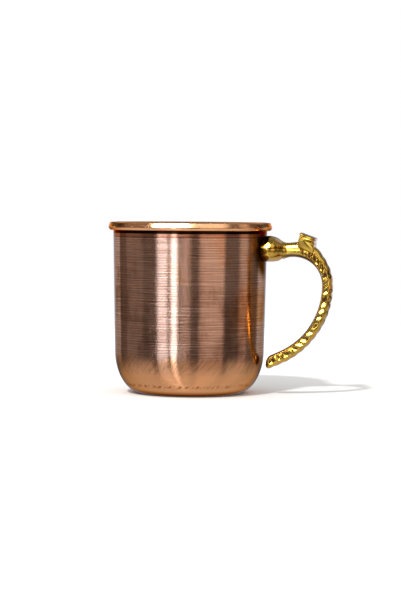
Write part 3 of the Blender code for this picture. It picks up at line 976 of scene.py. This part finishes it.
# The big softbox in front: its sides, foot and top in degrees, and its strength.
SOFTBOX = (-44, 10, 30, 58)
SOFTBOX_STRENGTH = 22.0
SOFT_LIGHT = 0.84
KEY_WAY = (-0.151, -0.652, 0.743)
KEY_SPREAD = math.radians(4.7)
TABLE_RADIUS = 0.6


def ramp_stops(whole_turn, stops, peak=1.0):
    """Ramp stops from (degrees, level), with 0 degrees at the middle of the ramp."""
    return [(degrees / whole_turn + 0.5, level / peak) for degrees, level in stops]


def panel_stops():
    """Ramp stops of the panels: each is even, with the dim room between them."""
    stops = []
    for start, end, white, strength in PANELS:
        for degrees, tint, power in (
            (start - PANEL_EDGE, WARM_WHITE, ROOM_LEVEL), (start, white, strength),
            (end, white, strength), (end + PANEL_EDGE, WARM_WHITE, ROOM_LEVEL),
        ):
            if abs(degrees) <= 180.0:
                share = power / PANEL_PEAK
                colour = (*(share * part for part in linear(tint)[:3]), 1.0)
                stops.append((degrees / 360.0 + 0.5, colour))
    return stops


def glow(tree, colour, strength):
    settings = {"Color": colour, "Strength": strength}
    return add_node(tree, "ShaderNodeBackground", settings).outputs["Background"]


def add_light(tree, first, second):
    return add_node(tree, "ShaderNodeAddShader", {0: first, 1: second}).outputs["Shader"]


def choose_light(tree, share, first, second):
    return add_node(tree, "ShaderNodeMixShader", {0: share, 1: first, 2: second}).outputs["Shader"]


def light_world():
    """Studio surroundings: tall panels round the cup, a softbox high in front and a pale glow."""
    world = bpy.data.worlds.new("studio")
    bpy.context.scene.world = world
    world.use_nodes = True
    tree = world.node_tree
    tree.nodes.clear()
    place = add_node(tree, "ShaderNodeTexCoord", {}).outputs["Generated"]
    way = add_node(tree, "ShaderNodeSeparateXYZ", {"Vector": place}).outputs
    azimuth = reckon(tree, "ARCTAN2", way["X"], reckon(tree, "MULTIPLY", way["Y"], -1.0))
    turn = span(tree, azimuth, -math.pi, math.pi)
    level = span(tree, reckon(tree, "ARCSINE", way["Z"]), -RIGHT_ANGLE, RIGHT_ANGLE)

    panels = tones(tree, turn, panel_stops())
    panel_share = tones(tree, level, ramp_stops(180.0, SHARES, PANEL_PEAK))
    shared = blend(tree, 1.0, panels, panel_share, "MULTIPLY")
    side_glow = tones(tree, level, ramp_stops(180.0, SIDE_GLOW))
    front_glow = tones(tree, level, ramp_stops(180.0, FRONT_GLOW))
    facing = tones(tree, turn, ramp_stops(360.0, (
        (FRONT_FROM - 3, 0.0), (FRONT_FROM, 1.0), (FRONT_TO, 1.0), (FRONT_TO + 3, 0.0),
    )))
    around = blend(tree, 1.0, blend(tree, facing, side_glow, front_glow), linear("#EEF6FF"), "MULTIPLY")
    left, right, foot, top = SOFTBOX
    across = tones(tree, turn, ramp_stops(360.0, (
        (left - 1, 0.0), (left, 1.0), (right, 1.0), (right + 1, 0.0),
    )))
    upright = tones(tree, level, ramp_stops(180.0, (
        (foot - 1, 0.0), (foot, 1.0), (top, 1.0), (top + 1, 0.0),
    )))
    softbox_power = reckon(tree, "MULTIPLY", reckon(tree, "MULTIPLY", across, upright), SOFTBOX_STRENGTH)

    mirrored = add_light(tree, glow(tree, shared, PANEL_PEAK * PANEL_PEAK), glow(tree, around, 1.0))
    mirrored = add_light(tree, mirrored, glow(tree, linear("#E4EEFF"), softbox_power))
    # Mirror rays see the panels, the camera sees a white backdrop, and all else gets an even soft light.
    path = add_node(tree, "ShaderNodeLightPath", {}).outputs
    lit = choose_light(tree, path["Is Glossy Ray"], glow(tree, WHITE, SOFT_LIGHT), mirrored)
    shown = choose_light(tree, path["Is Camera Ray"], lit, glow(tree, WHITE, 1.0))
    add_node(tree, "ShaderNodeOutputWorld", {"Surface": shown})
    world.cycles.sampling_method = "NONE"


def painted_board(stage):
    """Matt painted board: pale, with a grain too faint to see as a pattern."""
    material = bpy.data.materials.new("matt_painted_board")
    material.use_nodes = True
    tree = material.node_tree
    shader = tree.nodes["Principled BSDF"]
    tint = blend(tree, noise(tree, object_place(tree), 400.0, 2.0), linear("#F2F2F1"), tuple(stage.table))
    tree.links.new(tint, shader.inputs["Base Color"])
    shader.inputs["Roughness"].default_value = 0.9
    shader.inputs["Specular IOR Level"].default_value = 0.0
    return material


def aim_camera(stage):
    """Camera on its stand: a little above the cup, turned and rolled by small amounts."""
    yaw, roll, aim_height = math.radians(0.304), math.radians(0.45), 50.3 * MM
    azimuth = stage.camera_azimuth
    forward = Vector((-math.sin(azimuth), math.cos(azimuth), 0.0))
    right = Vector((math.cos(azimuth), math.sin(azimuth), 0.0))
    turned = forward * math.cos(yaw) + right * math.sin(yaw)
    side = right * math.cos(yaw) - forward * math.sin(yaw)
    pitch = math.atan((stage.camera_height - aim_height) / stage.camera_distance)
    up = Vector((0.0, 0.0, 1.0))
    look = turned * math.cos(pitch) - up * math.sin(pitch)
    top = up * math.cos(pitch) + turned * math.sin(pitch)
    across = side * math.cos(roll) + top * math.sin(roll)
    top = top * math.cos(roll) - side * math.sin(roll)
    deselect_all()
    bpy.ops.object.camera_add()
    camera = bpy.context.object
    camera.name = "studio_camera"
    camera.data.lens = stage.lens
    camera.data.clip_start, camera.data.clip_end = 0.01, 20.0
    place = stage.camera_distance * -forward + stage.camera_height * up
    camera.matrix_world = Matrix.Translation(place) @ Matrix((across, top, -look)).transposed().to_4x4()
    bpy.context.scene.camera = camera


def key_light(stage):
    """A key light like a small sun, high in front and a little to the left."""
    toward = Vector(KEY_WAY).normalized()
    deselect_all()
    bpy.ops.object.light_add(type="SUN", location=2.0 * toward)
    key = bpy.context.object
    key.name = "key_light"
    key.data.angle = KEY_SPREAD
    key.data.energy = stage.key_strength
    key.rotation_euler = toward.to_track_quat("Z", "Y").to_euler()


class MUG_OT_stage(bpy.types.Operator):
    """Set the table, the studio light and the camera"""

    bl_idname = "mug.stage"
    bl_label = "Stage"

    def execute(self, context):
        stage = context.scene.mug_stage
        deselect_all()
        bpy.ops.mesh.primitive_circle_add(vertices=128, radius=TABLE_RADIUS, fill_type="NGON")
        table = bpy.context.object
        table.name = "table"
        table.data.materials.append(painted_board(stage))
        # The table is kept out of mirror rays, so that the metal shows only the studio.
        table.visible_glossy = False
        light_world()
        key_light(stage)
        aim_camera(stage)
        context.scene.view_settings.view_transform = "Standard"
        return {"FINISHED"}


class MUG_PT_panel(bpy.types.Panel):
    """Lists the mug's pieces in the sidebar"""

    bl_idname = "MUG_PT_panel"
    bl_label = "Copper mug"
    bl_space_type = "VIEW_3D"
    bl_region_type = "UI"
    bl_category = "Mug"

    def draw(self, context):
        for step in STEPS:
            self.layout.operator(step.bl_idname)


SETTINGS = {
    "mug_cup": MugCupSettings,
    "mug_handle": MugHandleSettings,
    "mug_fixing": MugFixingSettings,
    "mug_stage": MugStageSettings,
}
STEPS = (MUG_OT_cup, MUG_OT_handle, MUG_OT_washer, MUG_OT_screw, MUG_OT_stage)


def register():
    for cls in (*SETTINGS.values(), *STEPS, MUG_PT_panel):
        bpy.utils.register_class(cls)
    for name, cls in SETTINGS.items():
        setattr(bpy.types.Scene, name, PointerProperty(type=cls))


def unregister():
    for name in SETTINGS:
        delattr(bpy.types.Scene, name)
    for cls in reversed((*SETTINGS.values(), *STEPS, MUG_PT_panel)):
        bpy.utils.unregister_class(cls)


def main():
    register()
    bpy.ops.mug.cup()
    bpy.ops.mug.handle()
    bpy.ops.mug.washer()
    bpy.ops.mug.screw()
    bpy.ops.mug.stage()


if __name__ == "__main__":
    main()
